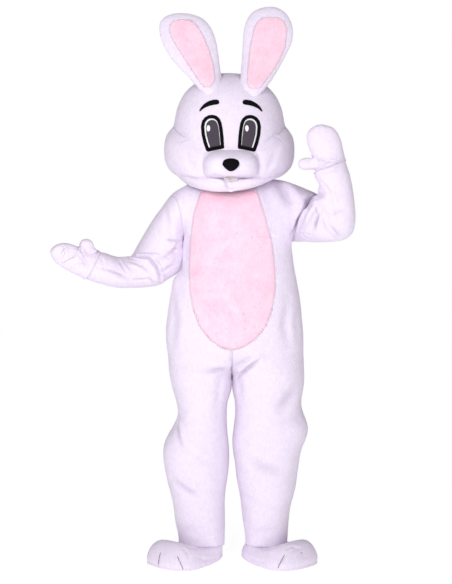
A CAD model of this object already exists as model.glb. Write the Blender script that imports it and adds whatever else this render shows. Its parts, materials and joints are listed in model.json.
import json
import math

import bmesh
import bpy
import numpy as np
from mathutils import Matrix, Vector, kdtree, noise
from mathutils.bvhtree import BVHTree

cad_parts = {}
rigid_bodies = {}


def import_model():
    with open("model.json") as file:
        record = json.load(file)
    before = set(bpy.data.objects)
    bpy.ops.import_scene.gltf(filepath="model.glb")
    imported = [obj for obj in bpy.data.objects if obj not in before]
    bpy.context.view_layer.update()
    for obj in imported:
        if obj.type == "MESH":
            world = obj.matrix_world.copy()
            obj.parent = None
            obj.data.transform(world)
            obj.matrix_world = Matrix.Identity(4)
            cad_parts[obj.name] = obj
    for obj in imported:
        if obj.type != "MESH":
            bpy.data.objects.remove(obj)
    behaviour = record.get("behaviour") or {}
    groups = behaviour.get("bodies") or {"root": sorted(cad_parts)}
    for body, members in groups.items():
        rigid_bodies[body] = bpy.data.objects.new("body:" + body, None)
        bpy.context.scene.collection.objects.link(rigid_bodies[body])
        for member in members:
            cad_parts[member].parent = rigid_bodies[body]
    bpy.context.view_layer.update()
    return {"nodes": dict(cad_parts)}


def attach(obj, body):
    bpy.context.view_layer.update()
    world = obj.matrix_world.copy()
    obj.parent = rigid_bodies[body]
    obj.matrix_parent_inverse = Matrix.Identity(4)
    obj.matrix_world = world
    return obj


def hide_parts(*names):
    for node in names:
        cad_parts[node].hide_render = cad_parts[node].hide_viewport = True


for leftover in list(bpy.data.objects):
    bpy.data.objects.remove(leftover)
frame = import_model()

# Jumpsuit: four body panels and two sleeves of short-pile white fleece, sewn edge to
# edge. The seams pull the cloth in a little, and it creases where the wearer bends:
# at the crook of the right arm, round the raised one, at the crotch, knees and hems.
SUIT_PANELS = ("suit_front_left", "suit_front_right", "suit_back_left",
               "suit_back_right", "sleeve_left", "sleeve_right")
FLEECE_WHITE = (0.855, 0.765, 0.915)
FLEECE_SHADE = (0.5, 0.43, 0.55)
SUIT_CLOTH = 0.0022
SAME_POINT = 0.00002
SEAM_REACH = 0.0009  # edges this close are sewn together
WALL_EDGE = math.radians(48)  # a sharper edge ends one side of a wall
QUAD_FOLD = math.radians(70)  # two triangles that fold less become one face
SMALL_GAP = 8  # a gap with up to so many sides is closed again
SKY_TESTS = 40
FAR_OUT = 1.5
CREASE_STEP = 0.006
LIPS = ((0.6, 1.8), (0.15, -2.0))  # beside a trough: height in depths, place in widths
LIP_WIDTH = 0.9
DARKEST_TROUGH = 0.007
GATHER = 0.35  # how uneven the pull of a seam is
GATHER_SIZE = 0.011
SEAM_FADE = 0.05
MM = 1000.0  # the tables of creases are in millimetres
RAISED_ARMHOLE = (0.19, -0.26)  # it lies beyond this x and above this z
FRONT, BACK = -1.0, 1.0

# width, depth, then points (x, z), in millimetres; a negative depth is a ridge
SUIT_FRONT_CREASES = (
    # right arm, held out: armhole, crook, forearm and cuff
    (5.9, 12.8, (-353, -252), (-310, -258), (-284, -288), (-269, -325), (-267, -351)),
    (5.4, 5.3, (-423, -262), (-405, -292), (-390, -318)),
    (3.6, 3.3, (-498, -300), (-455, -315), (-394, -344), (-314, -338), (-278, -348)),
    (7.2, -6, (-388, -277), (-343, -296), (-306, -322)),
    (7.2, 7.5, (-295, -266), (-250, -255), (-217, -232), (-199, -201)),
    (6.3, 5.3, (-247, -184), (-221, -195), (-196, -204)),
    (8.1, 4.5, (-269, -310), (-240, -295), (-210, -273)),
    (9.9, 4.5, (-253, -57), (-239, -124), (-224, -184)),
    (5.4, 3, (-489, -252), (-477, -274), (-473, -297)),
    (18, -8, (-193, -185), (-193, -230), (-192, -285)),
    (18, -4.5, (-177, -185), (-178, -230), (-180, -285)),
    (4, 7.5, (-309, -257), (-339, -255), (-369, -253), (-395, -252), (-429, -257)),
    (3.8, 5, (-230, -265), (-256, -246), (-290, -238), (-346, -237)),
    (4.5, 11, (-380, -336), (-406, -325), (-451, -306), (-497, -293)),
    (5.5, 6, (-380, -336), (-339, -338), (-301, -336)),
    (4.5, 6, (-312, -332), (-297, -347), (-275, -359)),
    (3.4, 6, (-196, -201), (-215, -193), (-245, -190)),
    (3.4, 6, (-196, -223), (-215, -222), (-241, -227)),
    (4, 5, (-200, -235), (-222, -253), (-249, -276)),
    (4.5, 4.5, (-203, -280), (-230, -291), (-256, -310)),
    # left arm, raised: shoulder, elbow and cuff
    (6.7, 13.5, (295, -30), (271, -73), (250, -116), (229, -163)),
    (7.2, -6.7, (313, -53), (282, -98), (262, -141)),
    (6.3, 9, (299, -70), (309, -104), (302, -140), (290, -175)),
    (5.4, 4.5, (341, -156), (360, -177), (384, -194)),
    (5.4, 6.7, (319, -97), (327, -130), (345, -170)),
    (4, 5.3, (365, -81), (372, -99), (369, -120)),
    (3.6, 4.5, (344, -95), (368, -102), (394, -102)),
    (4.5, 4.5, (311, 44), (338, 45), (371, 59), (402, 87)),
    (5.4, 4.5, (315, 23), (339, -1), (353, -30)),
    (7.2, 4.5, (350, -16), (357, -52), (368, -81)),
    (6.3, 4.5, (253, -165), (267, -181), (288, -189)),
    (12.5, 22, (327, -32), (304, -35), (285, -47), (270, -69)),
    (21, 10, (140, 75), (172, 26), (196, -14), (224, -72)),
    (5, 9, (289, -47), (270, -73), (251, -111), (233, -152)),
    (5, 5, (233, -148), (221, -167), (221, -190)),
    (4.5, 8.5, (349, -133), (368, -156), (394, -186)),
    (6, 6, (323, -84), (312, -114), (304, -137), (304, -167)),
    (4, 5, (420, -81), (398, -88), (383, -96), (383, -122)),
    (3.5, 4, (372, -17), (383, -47), (394, -66)),
    (6, 4.5, (312, -66), (330, -84), (345, -111), (360, -144)),
    (5, 4, (248, -159), (266, -171), (289, -175)),
    (3.2, 7, (326, 59), (356, 70), (382, 81), (401, 93), (419, 107)),
    # chest and hips, beside the belly panel
    (14.4, 10.5, (-122, -414), (-82, -458), (-45, -495)),
    (12.6, 6.7, (-27, -407), (3, -458), (14, -509)),
    (9, 4.5, (95, -164), (132, -178), (162, -185)),
    (20, 5, (-227, -377), (-209, -489), (-225, -602)),
    (18, 6, (207, -415), (191, -507), (207, -581)),
    # crotch
    (5.4, 5.3, (-49, -583), (-23, -594), (-8, -587)),
    (11, 9, (-8, -682), (-30, -676), (-66, -675), (-104, -678)),
    (16.2, 4.5, (14, -684), (29, -732), (29, -789)),
    (14.4, 3.5, (-38, -693), (-53, -756), (-56, -824)),
    (5.5, 13, (0, -656), (-2, -678), (-2, -708)),
    (7, 13, (15, -708), (41, -682), (63, -663), (101, -635)),
    (16, 6, (8, -676), (36, -656), (80, -632)),
    (5, 6, (-4, -603), (-4, -629), (0, -656)),
    # knees and shins
    (11, 8, (-200, -848), (-207, -885), (-202, -925), (-186, -971)),
    (12.6, 9, (-225, -1082), (-179, -1114), (-120, -1143)),
    (30, 7.5, (245, -735), (200, -785), (160, -850)),
    (18, 4.5, (264, -838), (215, -861), (170, -878)),
    (25, 6, (66, -1003), (111, -1031), (185, -1047)),
    (15, 2.5, (52, -1152), (96, -1170), (141, -1177)),
    (14.4, 2.5, (-149, -989), (-105, -1016), (-60, -1022)),
    # hems
    (14, 3, (-192, -1278), (-150, -1264), (-105, -1275)),
    (14, 3, (60, -1271), (111, -1275), (163, -1268)),
)
SUIT_BACK_CREASES = (
    # arms and shoulders
    (14, 6, (215, -110), (160, -150), (110, -200)),
    (12, 4.5, (225, -165), (185, -205), (150, -265)),
    (12, 4.5, (-195, -215), (-165, -260), (-150, -320)),
    (9, 5, (330, -120), (365, -150), (400, -160)),
    (9, 5, (345, -60), (385, -75), (420, -70)),
    (9, 5, (-270, -290), (-310, -325), (-360, -340)),
    (8, 4, (-330, -275), (-370, -305), (-420, -315)),
    # waist and seat
    (10, 6, (12, -705), (55, -722), (115, -705)),
    (10, 6, (-12, -705), (-60, -724), (-120, -700)),
    (16, 5, (-185, -420), (-110, -446), (-40, -438)),
    (16, 4.5, (40, -455), (110, -470), (180, -440)),
    # backs of the knees, calves and hems
    (13, 6.5, (-190, -868), (-130, -884), (-65, -872)),
    (10, 5, (-178, -915), (-125, -920), (-80, -905)),
    (13, 6.5, (70, -852), (130, -866), (200, -848)),
    (10, 5, (85, -895), (135, -906), (185, -892)),
    (12, 4, (-180, -1275), (-130, -1262), (-80, -1272)),
    (12, 4, (75, -1268), (125, -1258), (175, -1272)),
    (16, 4.5, (65, -1060), (110, -1090), (170, -1085)),
    (16, 4.5, (-190, -1040), (-140, -1075), (-80, -1085)),
)


def opened(mesh):
    """A form with a mesh's shape, to work on."""
    form = bmesh.new()
    form.from_mesh(mesh)
    return form


def closed(form, mesh=None):
    """Puts a finished form into a mesh, a new one unless one is given."""
    mesh = mesh or bpy.data.meshes.new("form")
    form.to_mesh(mesh)
    form.free()
    return mesh


def merged_copy(node):
    """A copy of a CAD solid with its loose triangles joined."""
    form = opened(frame["nodes"][node].data)
    bmesh.ops.remove_doubles(form, verts=form.verts[:], dist=SAME_POINT)
    return form


costume = bmesh.new()
for solid in frame["nodes"].values():
    costume.from_mesh(solid.data)
costume_tree = BVHTree.FromBMesh(costume)
costume.free()
SKY = []
for step in range(SKY_TESTS):
    height = 1 - (2 * step + 1) / SKY_TESTS
    reach = math.sqrt(1 - height * height)
    SKY.append(Vector((reach * math.cos(2.4 * step), reach * math.sin(2.4 * step), height)))


def open_sky(faces):
    """How many straight lines leave these faces without meeting the costume."""
    free = 0
    for face in faces[::max(1, len(faces) // SKY_TESTS)]:
        start = face.calc_center_median() + 0.0005 * face.normal
        for way in SKY:
            if way.dot(face.normal) > 0.2 and costume_tree.ray_cast(start, way)[0] is None:
                free += 1
    return free


def outside_of(node):
    """The outer side of a cloth wall, without its inner side and its cut edges."""
    form = merged_copy(node)
    islands = []
    for face in form.faces:
        face.tag = False
    for first in form.faces:
        if first.tag:
            continue
        first.tag = True
        island = [first]
        for face in island:
            for edge in face.edges:
                if edge.calc_face_angle(math.pi) > WALL_EDGE:
                    continue
                for other in edge.link_faces:
                    if not other.tag:
                        other.tag = True
                        island.append(other)
        islands.append(island)
    islands.sort(key=lambda island: -sum(face.calc_area() for face in island))
    outer, inner = sorted(islands[:2], key=open_sky, reverse=True)
    balance = {}
    for island, sign in ((outer, 1), (inner, -1)):
        for face in island:
            for vert in face.verts:
                balance[vert] = balance.get(vert, 0.0) + sign * face.calc_area()
    keep = {face for face in outer if all(balance[vert] > 0 for vert in face.verts)}
    rest = [face for face in form.faces if face not in keep]
    bmesh.ops.delete(form, geom=rest, context="FACES")
    return form


def values_of(items, field, width=1, kind=np.int32):
    """One value, or a few, of each point, edge or face of a mesh."""
    flat = np.zeros(width * len(items), kind)
    items.foreach_get(field, flat)
    return flat.reshape(-1, width) if width > 1 else flat


def points_of(mesh):
    return values_of(mesh.vertices, "co", 3, np.float32).astype(float)


def normals_of(mesh):
    return values_of(mesh.vertex_normals, "vector", 3, np.float32).astype(float)


def set_points(mesh, points):
    mesh.vertices.foreach_set("co", points.astype(np.float32).ravel())
    mesh.update()


def tree_of(mesh):
    form = opened(mesh)
    tree = BVHTree.FromBMesh(form)
    form.free()
    return tree


def join_triangles(form, fold):
    """Joins pairs of triangles of one panel that fold less than this."""
    bmesh.ops.join_triangles(form, faces=form.faces[:], cmp_materials=True,
                             angle_face_threshold=fold, angle_shape_threshold=math.pi)


def add_object(name, data):
    item = bpy.data.objects.new(name, data)
    bpy.context.scene.collection.objects.link(item)
    return item


def smoothed(form, levels):
    """A fine smooth mesh through the points of a coarse one."""
    coarse = closed(form)
    holder = add_object("coarse", coarse)
    rounding = holder.modifiers.new("rounding", "SUBSURF")
    rounding.levels = rounding.render_levels = levels
    wanted = points_of(coarse)
    for _ in range(3):  # smoothing shrinks a form, so its points move out
        bpy.context.view_layer.update()
        seen = holder.evaluated_get(bpy.context.evaluated_depsgraph_get())
        fine = bpy.data.meshes.new_from_object(seen)
        set_points(coarse, points_of(coarse) + 0.9 * (wanted - points_of(fine)[:len(wanted)]))
    bpy.data.objects.remove(holder)
    return fine


def sew_together(nodes):
    """One smooth skin through the outer sides of several pieces."""
    cloth = bmesh.new()
    for number, node in enumerate(nodes):
        panel = outside_of(node)
        for face in panel.faces:
            face.material_index = number
        single = closed(panel)
        cloth.from_mesh(single)
        bpy.data.meshes.remove(single)
    rim = [vert for vert in cloth.verts if vert.is_boundary]
    bmesh.ops.remove_doubles(cloth, verts=rim, dist=SEAM_REACH)
    for face in bmesh.ops.holes_fill(cloth, edges=cloth.edges[:], sides=SMALL_GAP)["faces"]:
        beside = [other for edge in face.edges for other in edge.link_faces if other is not face]
        face.material_index = beside[0].material_index
    join_triangles(cloth, QUAD_FOLD)
    return smoothed(cloth, 3)


def nearest(places, points, reach):
    """How far each point lies from the nearest of some places, up to a reach."""
    tree = kdtree.KDTree(len(places))
    for number, place in enumerate(places):
        tree.insert(place, number)
    tree.balance()
    return np.array([min(reach, tree.find(point)[2]) for point in points])


def seam_distances(mesh, reach):
    """How far each point of a skin lies from the nearest seam, up to a reach."""
    owner = np.repeat(values_of(mesh.polygons, "material_index"),
                      values_of(mesh.polygons, "loop_total"))
    edge_of = values_of(mesh.loops, "edge_index")
    low = np.full(len(mesh.edges), len(mesh.polygons))
    high = np.full(len(mesh.edges), -1)
    np.minimum.at(low, edge_of, owner)
    np.maximum.at(high, edge_of, owner)
    on_seam = np.unique(values_of(mesh.edges, "vertices", 2)[low != high])
    points = points_of(mesh)
    if not len(on_seam):
        return np.full(len(points), reach)
    return nearest(points[on_seam], points, reach)


def seen_from(side, tree, x, z):
    """Where a line from in front or behind first meets a surface, and how that faces."""
    return tree.ray_cast(Vector((x, FAR_OUT * side, z)), Vector((0, -side, 0)))[:2]


def crease_shift(points, tree, side, creases):
    """How far each point moves: a trough, with a high lip on one side and a low one."""
    shift = np.zeros(len(points))
    for width, depth, *path in creases:
        width, depth, path, line = width / MM, depth / MM, np.array(path) / MM, []
        for start, end in zip(path, path[1:]):
            count = max(2, int(math.dist(start, end) / CREASE_STEP))
            for step in range(count + 1):
                share = step / count
                x = start[0] + share * (end[0] - start[0])
                z = start[1] + share * (end[1] - start[1])
                hit = seen_from(side, tree, x, z)[0]
                if hit:
                    line.append(hit)
        if len(line) < 2:
            continue
        line = np.array(line)
        close = (points > line.min(0) - 4 * width) & (points < line.max(0) + 4 * width)
        chosen = np.flatnonzero(np.all(close, axis=1))
        if not len(chosen):
            continue
        away = np.linalg.norm(points[chosen, None, :] - line[None], axis=2)
        near, at = away.min(1), away.argmin(1)
        taper = np.sin(math.pi * np.clip(at / (len(line) - 1), 0.03, 0.97)) ** 0.6
        way = np.gradient(line, axis=0)[at]
        beside = points[chosen] - line[at]
        near *= np.where(way[:, 0] * beside[:, 2] > way[:, 2] * beside[:, 0], 1.0, -1.0)
        trough = np.exp(-(near / width) ** 2)
        lips = sum(height * np.exp(-((near - place * width) / (LIP_WIDTH * width)) ** 2)
                   for height, place in LIPS)
        shift[chosen] -= depth * taper * (trough - lips)
    return shift


def unevenness(points, size, seed):
    """Soft unevenness of hanging cloth, from -1 to 1."""
    start = Vector((seed, 2.3 * seed, 5.1 * seed))
    return np.array([noise.noise(Vector(point) / size + start) for point in points])


def set_inputs(node, values):
    for socket, value in values.items():
        node.inputs[socket].default_value = value


def plain_material(name, values):
    """A material with its surface's plain settings made."""
    material = bpy.data.materials.new(name)
    material.use_nodes = True
    set_inputs(material.node_tree.nodes["Principled BSDF"], values)
    return material


def ranged(tree, source, low, high, start, end, ease="LINEAR"):
    """Turns a value between low and high into one between start and end."""
    made = tree.nodes.new("ShaderNodeMapRange")
    made.interpolation_type = ease
    set_inputs(made, {"From Min": low, "From Max": high, "To Min": start, "To Max": end})
    tree.links.new(source, made.inputs["Value"])
    return made.outputs["Result"]


def blend(tree, share, colour, shade):
    """Colours the surface between two tints."""
    tint = tree.nodes.new("ShaderNodeMix")
    tint.data_type = "RGBA"
    set_inputs(tint, {6: (*colour, 1.0), 7: (*shade, 1.0)})
    tree.links.new(share, tint.inputs[0])
    tree.links.new(tint.outputs[2], tree.nodes["Principled BSDF"].inputs["Base Color"])


def raise_nap(tree, height, strength, distance, under=None):
    """Roughens the surface by a pattern, over an earlier roughening if there is one."""
    made = tree.nodes.new("ShaderNodeBump")
    set_inputs(made, {"Strength": strength, "Distance": distance})
    tree.links.new(height, made.inputs["Height"])
    if under is not None:
        tree.links.new(under, made.inputs["Normal"])
    tree.links.new(made.outputs["Normal"], tree.nodes["Principled BSDF"].inputs["Normal"])
    return made.outputs["Normal"]


def fleece(name, colour, shade, seam_shade, lean_shade, patch, pile_size, nap, strokes):
    """Short-pile fleece: fine tufts, and faint patches where the pile leans another way."""
    material = plain_material(name, {"Roughness": 0.92, "Sheen Weight": 0.15,
                                     "Sheen Roughness": 0.45, "Specular IOR Level": 0.12})
    tree = material.node_tree
    place = tree.nodes.new("ShaderNodeTexCoord").outputs["Object"]

    def pattern(kind, scale, detail=None, stretch=None, turn=(0.0, 0.0, 0.0)):
        made = tree.nodes.new("ShaderNodeTex" + kind)
        made.inputs["Scale"].default_value = scale
        if detail is not None:
            set_inputs(made, {"Detail": detail, "Roughness": 0.62})
        source = place
        if stretch:
            turned = tree.nodes.new("ShaderNodeMapping")
            turned.vector_type = "TEXTURE"
            set_inputs(turned, {"Rotation": turn, "Scale": [1 / part for part in stretch]})
            tree.links.new(place, turned.inputs["Vector"])
            source = turned.outputs["Vector"]
        tree.links.new(source, made.inputs["Vector"])
        return made.outputs[0]

    def total(one, two):
        made = tree.nodes.new("ShaderNodeMath")
        tree.links.new(one, made.inputs[0])
        tree.links.new(two, made.inputs[1])
        return made.outputs[0]

    leaning = pattern("Noise", 1 / patch, 6.0)
    locks = pattern("Noise", 0.45 / pile_size, 4.0, (1.0, 1.0, 0.45))
    parted = pattern("Noise", 260.0, 1.0, (0.55, 1.0, 0.13), (0.0, 0.85, 0.0))
    pile = pattern("Noise", 1.6 / pile_size, 2.0)
    tufts = pattern("Voronoi", 1 / pile_size)
    seam = tree.nodes.new("ShaderNodeAttribute")
    seam.attribute_name = "seam"
    darker = ranged(tree, leaning, 0.36, 0.72, 0.0, lean_shade)
    for source, low, high, amount in ((locks, 0.35, 0.75, 0.17), (tufts, 0.25, 0.75, 0.12),
                                      (parted, 0.66, 0.74, strokes),
                                      (seam.outputs["Fac"], 0.0, 1.0, seam_shade)):
        darker = total(darker, ranged(tree, source, low, high, 0.0, amount))
    blend(tree, darker, colour, shade)
    fine = raise_nap(tree, total(pile, tufts), 0.45 * nap, 0.55 * pile_size)
    raise_nap(tree, locks, 0.3 * nap, 1.6 * pile_size, fine)
    return material


def mark_seams(mesh, near):
    """Keeps how deep in a seam or fold each point lies, for the cloth's shade."""
    layer = mesh.attributes.new("seam", "FLOAT", "POINT")
    layer.data.foreach_set("value", near.astype(np.float32))


def dress(name, mesh, material, thickness, *nodes):
    """Makes a piece with its wall, its material and the solids it stands for."""
    piece = add_object(name, mesh)
    mesh.materials.clear()
    mesh.materials.append(material)
    mesh.polygons.foreach_set("use_smooth", [True] * len(mesh.polygons))
    if thickness:
        wall = piece.modifiers.new("wall", "SOLIDIFY")
        wall.thickness = thickness
        wall.offset = -1.0
        wall.use_even_offset = False
    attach(piece, "root")
    if nodes:
        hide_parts(*nodes)
    return piece


def take_panel(mesh, number):
    """One panel of a sewn skin."""
    panel = opened(mesh)
    others = [face for face in panel.faces if face.material_index != number]
    bmesh.ops.delete(panel, geom=others, context="FACES")
    for face in panel.faces:
        face.material_index = 0
    return closed(panel)


def finish_skin(mesh, creases, seam_depth, seam_width, uneven, size, seed, strength=None,
                back_creases=()):
    """Pulls the seams of a skin in, and works the creases and unevenness into it."""
    points, normals, tree = points_of(mesh), normals_of(mesh), tree_of(mesh)
    distance = seam_distances(mesh, 6 * seam_width)
    drawn = 1.0 if strength is None else strength(points)
    pull = drawn * np.exp(-(distance / seam_width) ** 2)
    puckered = drawn * np.exp(-(distance / (3.5 * seam_width)) ** 2)
    gather = GATHER * unevenness(points, GATHER_SIZE, seed + 7)
    shift = crease_shift(points, tree, FRONT, creases)
    shift += crease_shift(points, tree, BACK, back_creases)
    trough = np.clip(-shift / DARKEST_TROUGH, 0.0, 1.0)
    shift += uneven * unevenness(points, size, seed)
    shift += 0.5 * uneven * unevenness(points, 0.45 * size, seed + 3)
    shift += seam_depth * (puckered * gather - pull * (1 + gather))
    set_points(mesh, points + shift[:, None] * normals)
    mark_seams(mesh, np.maximum(0.5 * pull, trough ** 1.5))


def suit_seams(points):
    """The raised arm's armhole is drawn in hard, the other seams only a little."""
    x, z = RAISED_ARMHOLE
    hard = np.clip((points[:, 0] - x) / SEAM_FADE, 0.0, 1.0) * (points[:, 2] > z)
    return 0.3 + 0.7 * hard


suit = sew_together(SUIT_PANELS)
finish_skin(suit, SUIT_FRONT_CREASES, seam_depth=0.0016, seam_width=0.0045, uneven=0.0016,
            size=0.085, seed=1.0, strength=suit_seams, back_creases=SUIT_BACK_CREASES)
suit_tree = tree_of(suit)
white_fleece = fleece("white_fleece_cloth", FLEECE_WHITE, FLEECE_SHADE, seam_shade=0.34,
                      lean_shade=0.12, patch=0.022, pile_size=0.0032, nap=1.0, strokes=0.05)
for number, panel in enumerate(SUIT_PANELS):
    piece = dress(panel + "_cloth", take_panel(suit, number), white_fleece, SUIT_CLOTH, panel)

# Belly panel: one oval of pink fleece, laid on the suit front and overcast by hand all
# round. It follows the suit's surface and its edge is rolled under.
PINK = (0.948, 0.672, 0.788)
PINK_SHADE = (0.93, 0.42, 0.58)
BELLY_CLOTH = 0.002
HEAD_CENTRE = -0.0105
FACES_BACK = 0.02  # what lies behind this depth is seen from behind


def edge_line(node):
    """The outline of a patch's outer side, in order, as (x, z)."""
    form = outside_of(node)
    loop = [next(edge for edge in form.edges if edge.is_boundary)]
    at = loop[0].verts[1]
    line = [loop[0].verts[0].co.copy(), at.co.copy()]
    while True:
        step = next(edge for edge in at.link_edges if edge.is_boundary and edge is not loop[-1])
        if step is loop[0]:
            break
        loop.append(step)
        at = step.other_vert(at)
        line.append(at.co.copy())
    form.free()
    return [(point.x, point.z) for point in line[:-1]]


def even_line(line, count):
    """The same closed outline with evenly spaced points."""
    points = np.array(line + line[:1])
    along = np.concatenate([[0], np.cumsum(np.linalg.norm(np.diff(points, axis=0), axis=1))])
    at = np.linspace(0, along[-1], count, endpoint=False)
    return [(np.interp(s, along, points[:, 0]), np.interp(s, along, points[:, 1])) for s in at]


def middle_of(verts):
    return sum((vert.co for vert in verts), Vector()) / len(verts)


def split_new(made):
    """The new points of an extruded edge, and the new edges between them."""
    points = {item for item in made["geom"] if isinstance(item, bmesh.types.BMVert)}
    edges = [item for item in made["geom"] if isinstance(item, bmesh.types.BMEdge)
             and item.verts[0] in points and item.verts[1] in points]
    return points, edges


def oval_patch(line, rings, levels=2):
    """A flat smooth patch inside an outline, facing the front."""
    form = bmesh.new()
    edge = [form.verts.new((x, 0.0, z)) for x, z in line]
    rim = [form.edges.new(pair) for pair in zip(edge, edge[1:] + edge[:1])]
    middle = middle_of(edge)
    for left in range(rings, 1, -1):
        inner, rim = split_new(bmesh.ops.extrude_edge_only(form, edges=rim))
        for vert in inner:
            vert.co = middle + (left - 1) / left * (vert.co - middle)
    hub = form.verts.new(middle)
    for side in rim:
        form.faces.new((side.verts[0], side.verts[1], hub))
    bmesh.ops.recalc_face_normals(form, faces=form.faces[:])
    if form.faces[0].normal.y > 0:
        bmesh.ops.reverse_faces(form, faces=form.faces[:])
    return smoothed(form, levels)


def rim_distances(mesh, reach):
    """How far each point of a patch lies from its edge, up to a reach."""
    form = opened(mesh)
    border = [vert.co.copy() for vert in form.verts if vert.is_boundary]
    distance = nearest(border, [vert.co for vert in form.verts], reach)
    form.free()
    return distance


def lay_on(mesh, tree, lift, roll, side=FRONT, low=0.45):
    """Lays a flat patch on a surface, its edge rolled down to it."""
    near = rim_distances(mesh, roll) / roll
    points = points_of(mesh)
    fallen = 0.0
    for at, (x, _, z) in enumerate(points):
        place, facing = seen_from(side, tree, x, z)
        if place is None:
            place, facing = tree.find_nearest(Vector((x, fallen, z)))[:2]
        fallen = place.y
        height = lift * (low + (1 - low) * math.sqrt(max(0.0, 1 - (1 - near[at]) ** 2)))
        points[at] = place + height * Vector((0, side, 0)) / max(0.35, abs(facing.y))
    set_points(mesh, points)
    mark_seams(mesh, 0.6 * low * np.exp(-(near * 2.0) ** 2))


def hide_seams(piece, reach=9.0):
    """Keeps the seams on the front from showing as lines, as far out as the reach."""
    form = opened(piece.data)
    for edge in form.edges:
        place = edge.verts[0].co
        if edge.is_boundary and abs(place.x - HEAD_CENTRE) < reach and place.y < FACES_BACK:
            edge.smooth = False
    closed(form, piece.data)


belly = oval_patch(even_line(edge_line("belly_panel"), 48), rings=12)
lay_on(belly, suit_tree, lift=0.0028, roll=0.01, low=0.15)
belly_tree = tree_of(belly)
pink_fleece = fleece("pink_fleece_cloth", PINK, PINK_SHADE, seam_shade=0.03, lean_shade=0.38,
                     patch=0.05, pile_size=0.0042, nap=0.9, strokes=0.4)
piece = dress("belly_panel_cloth", belly, pink_fleece, BELLY_CLOTH, "belly_panel")
hide_seams(piece)

# Back placket: a narrow strip of the suit's white fleece, sewn down over the opening in
# the centre-back seam, with its long edges rolled under.
placket = oval_patch(even_line(edge_line("back_placket"), 48), rings=4)
turned = opened(placket)
bmesh.ops.reverse_faces(turned, faces=turned.faces[:])
closed(turned, placket)
lay_on(placket, suit_tree, lift=0.003, roll=0.006, side=BACK)
piece = dress("back_placket_cloth", placket, white_fleece, BELLY_CLOTH, "back_placket")

# Mittens: a palm, a back and a thumb of the same fleece, lightly padded and sewn edge to
# edge. The cuff is rolled outwards and laps over the sleeve.
MITTEN_CREASES = {
    "left": (
        (3.6, 5.1, (291, 108), (311, 94), (339, 89), (367, 84)),
        (3.6, 4.3, (283, 99), (290, 121), (297, 134)),
        (5, 1.8, (325, 213), (325, 173), (321, 137)),
        (3.6, 4.3, (311, 65), (345, 70), (382, 92)),
        (3.6, -5.1, (302, 53), (345, 64), (385, 81), (411, 98)),
    ),
    "right": (
        (3.2, 6.8, (-630, -286), (-606, -271), (-580, -257), (-560, -238)),
        (3.2, 5.1, (-630, -253), (-615, -231), (-602, -216)),
        (3.2, 6.8, (-560, -250), (-548, -272), (-536, -300)),
        (4.3, 4.3, (-616, -220), (-609, -242), (-617, -264)),
        (3.6, 5.1, (-563, -219), (-549, -241), (-545, -260)),
        (3.6, 4.3, (-549, -275), (-523, -286)),
        (3.6, 3.4, (-589, -289), (-560, -282), (-531, -289)),
    ),
}
MITTEN_PARTS = ("palm", "back", "thumb")
CUFF_ROLL = 0.0018
CUFF_WIDTH = 0.0045
THUMB_ROOT = -0.232
THUMB_MIDDLE = -0.545
THUMB_LOWER = 0.2  # this share of its height is taken off
THUMB_WIDER = 0.32


def stubby_thumb(mesh):
    """Makes the upturned hand's thumb lower and wider than its pattern."""
    points = points_of(mesh)
    thumb = np.zeros(len(points), bool)
    for face in mesh.polygons:
        if face.material_index == MITTEN_PARTS.index("thumb"):
            thumb[list(face.vertices)] = True
    up = points[:, 2] - THUMB_ROOT
    raised = np.where(thumb, np.clip(up / 0.02, 0.0, 1.0), 0.0)
    root = np.where(thumb, np.clip(up / 0.012 + 1.0, 0.0, 1.0), 0.0)
    root *= np.exp(-(np.clip(up - 0.004, 0.0, 1.0) / 0.026) ** 2)
    points[:, 2] -= THUMB_LOWER * up * raised
    points[:, 0] += root * (THUMB_WIDER * (points[:, 0] - THUMB_MIDDLE) + 0.002)
    set_points(mesh, points)


for side in ("left", "right"):
    parts = ["mitten_" + side + "_" + part for part in MITTEN_PARTS]
    mitten = sew_together(parts)
    if side == "right":
        stubby_thumb(mitten)
    finish_skin(mitten, MITTEN_CREASES[side], seam_depth=0.0006, seam_width=0.003,
                uneven=0.0009, size=0.04, seed=4.0)
    cuff = np.exp(-(rim_distances(mitten, 0.02) / CUFF_WIDTH) ** 2)
    set_points(mitten, points_of(mitten) + CUFF_ROLL * cuff[:, None] * normals_of(mitten))
    for number, part in enumerate(parts):
        piece = dress(part + "_cloth", take_panel(mitten, number), white_fleece, SUIT_CLOTH, part)
        hide_seams(piece)

# Feet: a padded fleece upper over each foot, its lower edge turned down round a flat sole
# of the same fleece. Short folds mark off the toes.
FOOT_CREASES = {
    "left": (
        (3.5, 6, (190, -1342), (177, -1362), (166, -1383)),
        (3.5, 5, (256, -1339), (259, -1356), (257, -1376)),
        (6, 4, (89, -1335), (118, -1336), (154, -1323)),
        (5, 4, (199, -1323), (219, -1317), (249, -1325)),
        (5, 3, (210, -1333), (233, -1327), (256, -1326)),
        (6, 3, (60, -1375), (88, -1380), (123, -1373)),
    ),
    "right": (
        (3.5, 6, (-262, -1343), (-267, -1364), (-273, -1391)),
        (3.5, 6, (-198, -1345), (-190, -1365), (-179, -1390)),
        (6, 4, (-170, -1316), (-133, -1328), (-98, -1333)),
        (6, 3, (-133, -1350), (-97, -1374), (-60, -1382)),
        (5, 4, (-192, -1311), (-169, -1330), (-154, -1353)),
    ),
}
FOOT_CLOTH = 0.003
RIM_BELOW = -1.37  # the upper's lower edge lies under this height
HEM_BOTTOM = -1.3985
HEM_STEPS = ((0.0012, 0.25), (0.0016, 0.55), (0.001, 0.82), (-0.0008, 1.0))  # out, down
SOLE_INSET = 0.0065
SOLE_ROUNDING = 0.003


def outwards(middle, point):
    """The level direction from a middle to a point."""
    return Vector((point.x - middle.x, point.y - middle.y, 0.0)).normalized()


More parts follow.
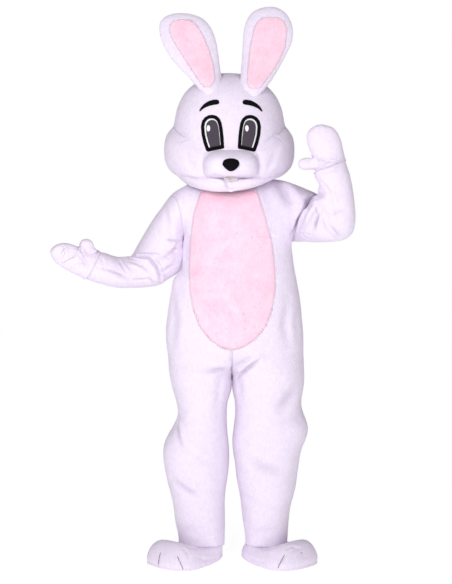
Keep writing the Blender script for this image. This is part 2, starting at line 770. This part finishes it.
def turned_down(mesh):
    """Carries the upper's lower edge down round the sole, to just above the floor."""
    form = opened(mesh)
    middle = middle_of(form.verts)
    rim = [edge for edge in form.edges if edge.is_boundary and edge.verts[0].co.z < RIM_BELOW]
    start = {vert: vert.co.copy() for edge in rim for vert in edge.verts}
    for out, share in HEM_STEPS:
        fresh, rim = split_new(bmesh.ops.extrude_edge_only(form, edges=rim))
        sources = {}
        for vert in fresh:
            for edge in vert.link_edges:
                if edge.other_vert(vert) in start:
                    sources[vert] = start[edge.other_vert(vert)]
        for vert, source in sources.items():
            vert.co = source + out * outwards(middle, source)
            vert.co.z = source.z + share * (HEM_BOTTOM - source.z)
        start = sources
    bmesh.ops.recalc_face_normals(form, faces=form.faces[:])
    closed(form, mesh)


foot_trees = {}
for side in ("left", "right"):
    foot = "foot_" + side
    upper = sew_together((foot + "_upper",))
    finish_skin(upper, FOOT_CREASES[side], seam_depth=0.0, seam_width=0.004, uneven=0.0012,
                size=0.06, seed=6.0)
    turned_down(upper)
    foot_trees[side] = tree_of(upper)
    piece = dress(foot + "_upper_cloth", take_panel(upper, 0), white_fleece, FOOT_CLOTH,
                  foot + "_upper")
    sole = merged_copy(foot + "_sole")
    bmesh.ops.dissolve_limit(sole, angle_limit=0.02, verts=sole.verts[:], edges=sole.edges[:])
    middle = middle_of(sole.verts)
    for vert in sole.verts:
        vert.co -= SOLE_INSET * outwards(middle, vert.co)
    piece = dress(foot + "_sole_pad", closed(sole), white_fleece, 0.0, foot + "_sole")
    rounding = piece.modifiers.new("rounding", "BEVEL")
    rounding.width = SOLE_ROUNDING
    rounding.segments = 3
    rounding.limit_method = "ANGLE"

# Toe lines: two rows of grey thread on each foot cover, pulled tight through the upper to
# mark off the toes, each a short run of stitches that ends in the fleece.
TOE_LINES = {"left": (((0.19, -1.34), (0.18, -1.356), (0.171, -1.372), (0.165, -1.388)),
                      ((0.25, -1.338), (0.254, -1.341), (0.257, -1.345))),
             "right": (((-0.262, -1.341), (-0.267, -1.356), (-0.27, -1.372), (-0.272, -1.388)),
                       ((-0.2, -1.345), (-0.192, -1.36), (-0.184, -1.376), (-0.178, -1.392)))}
TOE_GREY = (0.16, 0.13, 0.18)
TOE_THREAD = 0.0013
TOE_LIFT = 0.0002
TOE_POINTS = 13
THREAD_SIDES = 6
THREAD_TIP = 0.35  # a thread's ends are this much of its thickness


def thread_ring(form, centre, size, across, up, sides):
    """One ring of points round a thread."""
    turns = [math.tau * step / sides for step in range(sides)]
    return [form.verts.new(centre + size * (math.cos(turn) * across + math.sin(turn) * up))
            for turn in turns]


def join_rings(form, rings):
    """Walls a thread between its rings and closes its ends."""
    for one, two in zip(rings, rings[1:]):
        for step in range(len(one)):
            after = (step + 1) % len(one)
            form.faces.new((one[step], one[after], two[after], two[step]))
    form.faces.new(rings[0])
    form.faces.new(rings[-1])


def thread_along(form, tree, path, radius, lift):
    """Adds a thin thread that follows a short line (x, z) over the front of a surface."""
    places = [seen_from(FRONT, tree, x, z) for x, z in path]
    centres = [place + lift * facing for place, facing in places if place]
    rings = []
    for number, centre in enumerate(centres):
        before, after = centres[max(0, number - 1)], centres[min(len(centres) - 1, number + 1)]
        way = (after - before).normalized()
        across = way.cross(Vector((0, FRONT, 0))).normalized()
        size = radius * (THREAD_TIP if number in (0, len(centres) - 1) else 1.0)
        rings.append(thread_ring(form, centre, size, across, across.cross(way), THREAD_SIDES))
    join_rings(form, rings)


def thread_piece(name, form, colour):
    """A piece of sewing thread or of loose pile from a finished form."""
    bmesh.ops.recalc_face_normals(form, faces=form.faces[:])
    yarn = plain_material(name + "_yarn", {"Base Color": (*colour, 1.0), "Roughness": 0.8})
    return dress(name, closed(form), yarn, 0.0)


toe_form = bmesh.new()
for side in ("left", "right"):
    for path in TOE_LINES[side]:
        corners = range(len(path))
        at = np.linspace(0, len(path) - 1, TOE_POINTS)
        fine = zip(*(np.interp(at, corners, values) for values in zip(*path)))
        thread_along(toe_form, foot_trees[side], fine, TOE_THREAD, TOE_LIFT)
piece = thread_piece("toe_lines", toe_form, TOE_GREY)

# Belly stitches and pile: short slanting overcast stitches of pink thread along the lower
# edge of the belly, uneven in length and spacing and closest at the bottom, and the tips
# of the pink pile, which stand out over the edge all round.
STITCH_PINK = (0.62, 0.34, 0.44)
STITCH_PLACES = 150
STITCH_TOP = -0.44
CLOSE_BELOW = -0.52  # above this height every second stitch is left out
STITCH_IN = 0.0065
STITCH_OUT = 0.004
STITCH_SLANT = 0.0045
STITCH_UNEVEN = 0.003
STITCH_SIZES = (0.0005, 0.0011, 0.0005)
STITCH_SIDES = 5
STITCH_LIFT = 0.0004
BELLY_MIDDLE = Vector((-0.012, -0.3))
PILE_PINK = (0.98, 0.82, 0.89)
TUFT_REACH = (-0.35, 1.0)  # where a tuft starts and ends, across the edge
TUFT_UNEVEN = 1.2
TUFT_SWAY = 1.4
TUFT_WIDTH = 0.001
TUFT_RISE = 0.0008
TUFT_LIFT = 0.0005


def pile_edge(form, line, trees, count, reach):
    """Adds short tapering hairs that stand out over a patch's edge."""
    edge = even_line(line, count)
    middle = Vector(np.mean(edge, axis=0))
    for number, (x, z) in enumerate(edge):
        along = Vector((x - edge[number - 1][0], z - edge[number - 1][1])).normalized()
        out = Vector((along.y, -along.x))
        if out.dot(Vector((x, z)) - middle) < 0:
            out.negate()
        sway = noise.noise(Vector((0.61 * number, 7.7, 31.0 * reach)))
        uneven = TUFT_UNEVEN * noise.noise(Vector((0.83 * number, 1.9, 17.0 * reach)))
        ends = []
        for step in TUFT_REACH:
            at = Vector((x, z)) + reach * (1.0 + uneven) * step * (out + TUFT_SWAY * sway * along)
            hits = [seen_from(FRONT, tree, at.x, at.y)[0] for tree in trees]
            hits = [hit for hit in hits if hit]
            if hits:
                ends.append(min(hits, key=lambda hit: hit.y) - Vector((0, TUFT_LIFT, 0)))
        if len(ends) < 2:
            continue
        wide = TUFT_WIDTH * Vector((along.x, 0.0, along.y))
        root = [form.verts.new(ends[0] + part)
                for part in (wide, Vector((0, -TUFT_RISE, 0)), -wide)]
        tip = form.verts.new(ends[1])
        for one, two in ((0, 1), (1, 2), (2, 0)):
            form.faces.new((root[one], root[two], tip))
        form.faces.new(root)


stitch_form = bmesh.new()
for number, place in enumerate(even_line(edge_line("belly_panel"), STITCH_PLACES)):
    spot = Vector(place)
    if spot.y > STITCH_TOP or (spot.y > CLOSE_BELOW and number % 2):
        continue
    uneven = STITCH_UNEVEN * noise.noise(Vector((number * 0.73, 4.1, 0.0)))
    out = (spot - BELLY_MIDDLE).normalized()
    along = Vector((-out.y, out.x))
    slant = (STITCH_SLANT + uneven) * along
    rings = []
    for at, size in zip((spot - (STITCH_IN + uneven) * out, spot + 0.5 * slant,
                         spot + STITCH_OUT * out + slant), STITCH_SIZES):
        hit = (seen_from(FRONT, belly_tree, at.x, at.y)[0]
               or seen_from(FRONT, suit_tree, at.x, at.y)[0])
        rings.append(thread_ring(stitch_form, hit - Vector((0, STITCH_LIFT, 0)), size,
                                 Vector((along.x, 0.0, along.y)), Vector((0, -1, 0)),
                                 STITCH_SIDES))
    join_rings(stitch_form, rings)
pile_form = bmesh.new()
pile_edge(pile_form, edge_line("belly_panel"), (belly_tree, suit_tree), count=620, reach=0.0048)
piece = thread_piece("belly_edge_pile", pile_form, PILE_PINK)
piece = thread_piece("belly_stitches", stitch_form, STITCH_PINK)

# Head: a stiff padded shell under white fleece, cut in a crown, two cheeks, a jaw and
# two back panels. The cheek seams are drawn in and fade out towards the eyes.
HEAD_PANELS = ("head_crown", "head_cheek_left", "head_cheek_right", "head_jaw",
               "head_back_left", "head_back_right")
HEAD_CREASES = (
    (6, 4.5, (-202, 216), (-170, 193), (-153, 186)),
    (5, 3, (-151, 184), (-170, 176), (-189, 168)),
    (6, 4.5, (204, 238), (170, 208), (142, 183), (120, 160), (101, 137)),
    (5, 3, (146, 189), (169, 186), (188, 174)),
    (4.5, 9, (-198, 46), (-155, 35), (-118, 31), (-74, 33), (-38, 29), (-1, 27), (35, 29),
     (86, 33), (131, 32), (162, 44)),
    (7, 4, (-163, 28), (-125, 21), (-81, 19)),
    (6, 3, (-189, 52), (-155, 37), (-125, 32)),
    (6, 10, (-34, 28), (-22, 10), (-12, -16)),
    (4.5, 12, (-77, 38), (-59, 38), (-45, 34), (-30, 25)),
    (4, 10, (17, 34), (35, 33), (57, 31)),
    (4.5, 7, (-30, 10), (-23, -4), (-12, -12)),
    (4.5, 7, (4, -8), (-4, -13), (-16, -12)),
    (12, 4, (-103, 31), (-107, 66), (-103, 102), (-92, 132)),
    (12, 4, (97, 31), (101, 67), (97, 103), (86, 132)),
    (14, 3.5, (-177, 144), (-155, 97), (-132, 60)),
    (14, 3.5, (164, 137), (145, 98), (123, 61)),
)
HEAD_WALL = 0.008
FACE_HALF = 0.155  # seams fade in from here outwards
FACE_EDGE = 0.165  # and show as lines from here outwards


def cheek_seams(points):
    """The seams show at the sides and the back and fade out on the face."""
    shown = np.clip((np.abs(points[:, 0] - HEAD_CENTRE) - FACE_HALF) / SEAM_FADE, 0.0, 1.0)
    return np.where(points[:, 1] > FACES_BACK, 1.0, shown)


head = sew_together(HEAD_PANELS)
finish_skin(head, HEAD_CREASES, seam_depth=0.002, seam_width=0.0055, uneven=0.0012,
            size=0.09, seed=9.0, strength=cheek_seams)
head_tree = tree_of(head)
for number, panel in enumerate(HEAD_PANELS):
    piece = dress(panel + "_cloth", take_panel(head, number), white_fleece, HEAD_WALL, panel)
    hide_seams(piece, FACE_EDGE)

# Ears: two flat padded ears of white fleece, sewn to the crown, each with a lining of
# pink fleece on its front. The pile stands out over the lining's edge.
LINING_CLOTH = 0.0018
for side in ("left", "right"):
    node = "ear_" + side
    form = merged_copy(node)
    join_triangles(form, QUAD_FOLD)
    ear = smoothed(form, 3)
    finish_skin(ear, (), seam_depth=0.0, seam_width=0.004, uneven=0.0012, size=0.06, seed=11.0)
    ear_tree = tree_of(ear)
    piece = dress(node + "_cloth", ear, white_fleece, 0.0, node)
    line = edge_line(node + "_lining")
    lining = oval_patch(even_line(line, 48), rings=8)
    lay_on(lining, ear_tree, lift=0.0026, roll=0.005)
    piece = dress(node + "_lining_cloth", lining, pink_fleece, LINING_CLOTH, node + "_lining")
    hide_seams(piece)
    pile_form = bmesh.new()
    pile_edge(pile_form, line, (tree_of(lining), ear_tree), count=260, reach=0.004)
    piece = thread_piece(node + "_edge_pile", pile_form, PILE_PINK)

# Muzzle: a domed pad of white fleece between the cheeks, stuffed with wadding and sewn
# down along its edge. Its upper side slopes up to the eyes, its lower side is fuller.
MUZZLE = {"x": -0.005, "z": 0.0795, "half_width": 0.101, "half_height": 0.0505, "depth": 0.052}
MUZZLE_WALL = 0.004


def rounded_outline(pad, power, count):
    """An oval outline (x, z) that a higher power makes squarer."""
    def bent(value):
        return math.copysign(abs(value) ** (2 / power), value)

    turns = [math.tau * step / count for step in range(count)]
    return even_line([(pad["x"] + pad["half_width"] * bent(math.cos(turn)),
                       pad["z"] + pad["half_height"] * bent(math.sin(turn)))
                      for turn in turns], count)


def swell(mesh, pad, power, steepness, top_power=None):
    """Domes a patch that lies on a surface towards the front."""
    points = points_of(mesh)
    up = (points[:, 2] - pad["z"]) / pad["half_height"]
    far = np.abs((points[:, 0] - pad["x"]) / pad["half_width"]) ** power
    far += np.abs(up) ** np.where(up > 0, top_power or power, power)
    points[:, 1] -= pad["depth"] * np.clip(1 - far, 0, 1) ** steepness
    set_points(mesh, points)


muzzle = oval_patch(rounded_outline(MUZZLE, power=4.4, count=48), rings=12)
lay_on(muzzle, head_tree, lift=0.0025, roll=0.006)
swell(muzzle, MUZZLE, power=3.9, steepness=0.8, top_power=1.9)
muzzle_tree = tree_of(muzzle)
piece = dress("muzzle_cloth", muzzle, white_fleece, MUZZLE_WALL, "muzzle")

# Nose: a rounded triangle of black wool felt over a small firm pad, glued to the front of
# the muzzle.
NOSE = {"x": -0.005, "z": 0.0705, "half_width": 0.031, "half_height": 0.0235, "depth": 0.014}
NOSE_WALL = 0.003
BLACK = (0.0035, 0.0028, 0.0042)


def felt(name, colour, sheen=0.2, gloss=0.2):
    """Dense wool felt with a faint matted grain."""
    material = plain_material(name, {"Roughness": 0.85, "Sheen Weight": sheen,
                                     "Sheen Roughness": 0.5, "Specular IOR Level": gloss})
    tree = material.node_tree
    grain = tree.nodes.new("ShaderNodeTexNoise")
    set_inputs(grain, {"Scale": 600.0, "Detail": 4.0})
    place = tree.nodes.new("ShaderNodeTexCoord")
    tree.links.new(place.outputs["Object"], grain.inputs["Vector"])
    blend(tree, grain.outputs["Fac"], [0.75 * part for part in colour],
          [min(1.0, 1.2 * part) for part in colour])
    raise_nap(tree, grain.outputs["Fac"], strength=0.4, distance=0.0008)
    return material


black_felt = felt("black_felt_cloth", BLACK, sheen=0.01, gloss=0.08)
nose = oval_patch(even_line(edge_line("nose"), 24), rings=6)
lay_on(nose, muzzle_tree, lift=0.003, roll=0.004)
swell(nose, NOSE, power=2.2, steepness=0.55)
piece = dress("nose_pad", nose, black_felt, NOSE_WALL, "nose")

# Tooth: a low pad of cream wool felt, glued to the jaw so that it shows just under the
# muzzle.
TOOTH = {"x": -0.006, "z": 0.0235, "half_width": 0.0265, "half_height": 0.008}
TOOTH_WALL = 0.004
CREAM = (0.9, 0.78, 0.8)
cream_felt = felt("cream_felt_cloth", CREAM)
tooth = oval_patch(rounded_outline(TOOTH, power=3.2, count=24), rings=5)
lay_on(tooth, head_tree, lift=0.01, roll=0.003)
piece = dress("tooth_pad", tooth, cream_felt, TOOTH_WALL, "tooth")

# Eyes: four layers of cut felt for each, glued one on another, a black rim, a white, a
# dark grey iris and a small white glint.
EYE_LAYERS = (("rim", 0.0033, "black_felt"), ("white", 0.0056, "white_felt"),
              ("iris", 0.0076, "grey_felt"), ("glint", 0.0094, "white_felt"))
EYE_FELT = 0.0018
EYE_ROLL = 0.0022
GLINT_MOVE = {"left": (0.0, 0.005), "right": (-0.0005, 0.0055)}
GLINT_SIZE = 0.86
EYE_WHITE = (0.93, 0.92, 0.95)
EYE_GREY = (0.062, 0.048, 0.068)
eye_felts = {"black_felt": black_felt, "white_felt": felt("white_felt_cloth", EYE_WHITE),
             "grey_felt": felt("grey_felt_cloth", EYE_GREY, sheen=0.1)}
for side in ("left", "right"):
    for layer, lift, finish in EYE_LAYERS:
        node = "eye_" + side + "_" + layer
        line = even_line(edge_line(node), 72)
        if layer == "glint":
            middle = np.mean(line, axis=0)
            line = [tuple(middle + GLINT_MOVE[side] + GLINT_SIZE * (point - middle))
                    for point in np.array(line)]
        disc = oval_patch(line, rings=5, levels=1)
        lay_on(disc, head_tree, lift, EYE_ROLL)
        piece = dress(node + "_felt", disc, eye_felts[finish], EYE_FELT, node)

# Brows: two tapering arcs of black felt, cut by hand and glued to the forehead, one over
# each eye.
BROW_FOLD = 0.5
BROW_SWELL = 0.0013
BROW_LIFT = (0.0, 0.0, 0.002)
for side in ("left", "right"):
    form = merged_copy("brow_" + side)
    join_triangles(form, BROW_FOLD)
    brow = smoothed(form, 2)
    set_points(brow, points_of(brow) + BROW_SWELL * normals_of(brow) + BROW_LIFT)
    piece = dress("brow_" + side + "_felt", brow, black_felt, 0.0, "brow_" + side)

# Floor: a wide sheet of white studio paper. It gives light of its own, so that it shows as
# white as the room behind.
FLOOR = -1.4
FLOOR_RADIUS = 26.0
ground = bmesh.new()
bmesh.ops.create_circle(ground, cap_ends=True, segments=96, radius=FLOOR_RADIUS)
bmesh.ops.translate(ground, verts=ground.verts[:], vec=(0.0, 0.0, FLOOR))
floor = add_object("floor", closed(ground))
floor.data.materials.append(plain_material("white_floor", {
    "Base Color": (0.4, 0.4, 0.4, 1), "Roughness": 0.9, "Specular IOR Level": 0.1,
    "Emission Color": (1, 1, 1, 1), "Emission Strength": 0.88}))

# Room and lights: a white room, bright in front of the costume and straight behind it and
# dim at the sides, a small light near the front left, and a larger one further off at the
# front right.
LIGHTS = (  # name, place, aim, size, power
    ("key", (-0.9, -2.7, 0.3), (0.0, 0.0, -0.3), 0.9, 27.0),
    ("fill", (1.6, -5.2, 0.4), (0.0, 0.0, -0.5), 1.6, 34.0))
ROOM_PARTS = (  # direction, where it starts and is full, how dark and bright it is
    ((-0.12, -0.98, 0.02), 0.05, 0.62, 0.05, 0.85),
    ((0.0, 1.0, 0.0), 0.9, 0.95, 0.0, 1.0))
bpy.context.scene.view_settings.view_transform = "Standard"
world = bpy.data.worlds.new("white_room")
bpy.context.scene.world = world
world.use_nodes = True
room = world.node_tree
way = room.nodes.new("ShaderNodeTexCoord").outputs["Generated"]


def part_of_room(axis, start, full, dark, bright):
    """Brightness of the room around one direction, falling off smoothly."""
    turned = room.nodes.new("ShaderNodeVectorMath")
    turned.operation = "DOT_PRODUCT"
    turned.inputs[1].default_value = Vector(axis).normalized()
    room.links.new(way, turned.inputs[0])
    return ranged(room, turned.outputs["Value"], start, full, dark, bright, "SMOOTHSTEP")


brightest = room.nodes.new("ShaderNodeMath")
brightest.operation = "MAXIMUM"
for number, part in enumerate(ROOM_PARTS):
    room.links.new(part_of_room(*part), brightest.inputs[number])
room.links.new(brightest.outputs[0], room.nodes["Background"].inputs["Strength"])
room.nodes["Background"].inputs["Color"].default_value = (1.0, 1.0, 1.0, 1.0)
for name, place, aim, size, power in LIGHTS:
    light = bpy.data.lights.new(name, "AREA")
    light.size = size
    light.energy = power
    lamp = add_object(name, light)
    lamp.location = place
    lamp.rotation_euler = (Vector(aim) - Vector(place)).to_track_quat("-Z", "Y").to_euler()

# Camera: level and straight in front, at the height of the costume's middle, with a long
# lens.
CAMERA_PLACE = (-0.023, -4.5, -0.385)
CAMERA_LENS = 72.99
camera_data = bpy.data.cameras.new("camera")
camera_data.lens = CAMERA_LENS
camera = add_object("camera", camera_data)
camera.location = CAMERA_PLACE
camera.rotation_euler = (math.radians(90), 0.0, 0.0)
bpy.context.scene.camera = camera
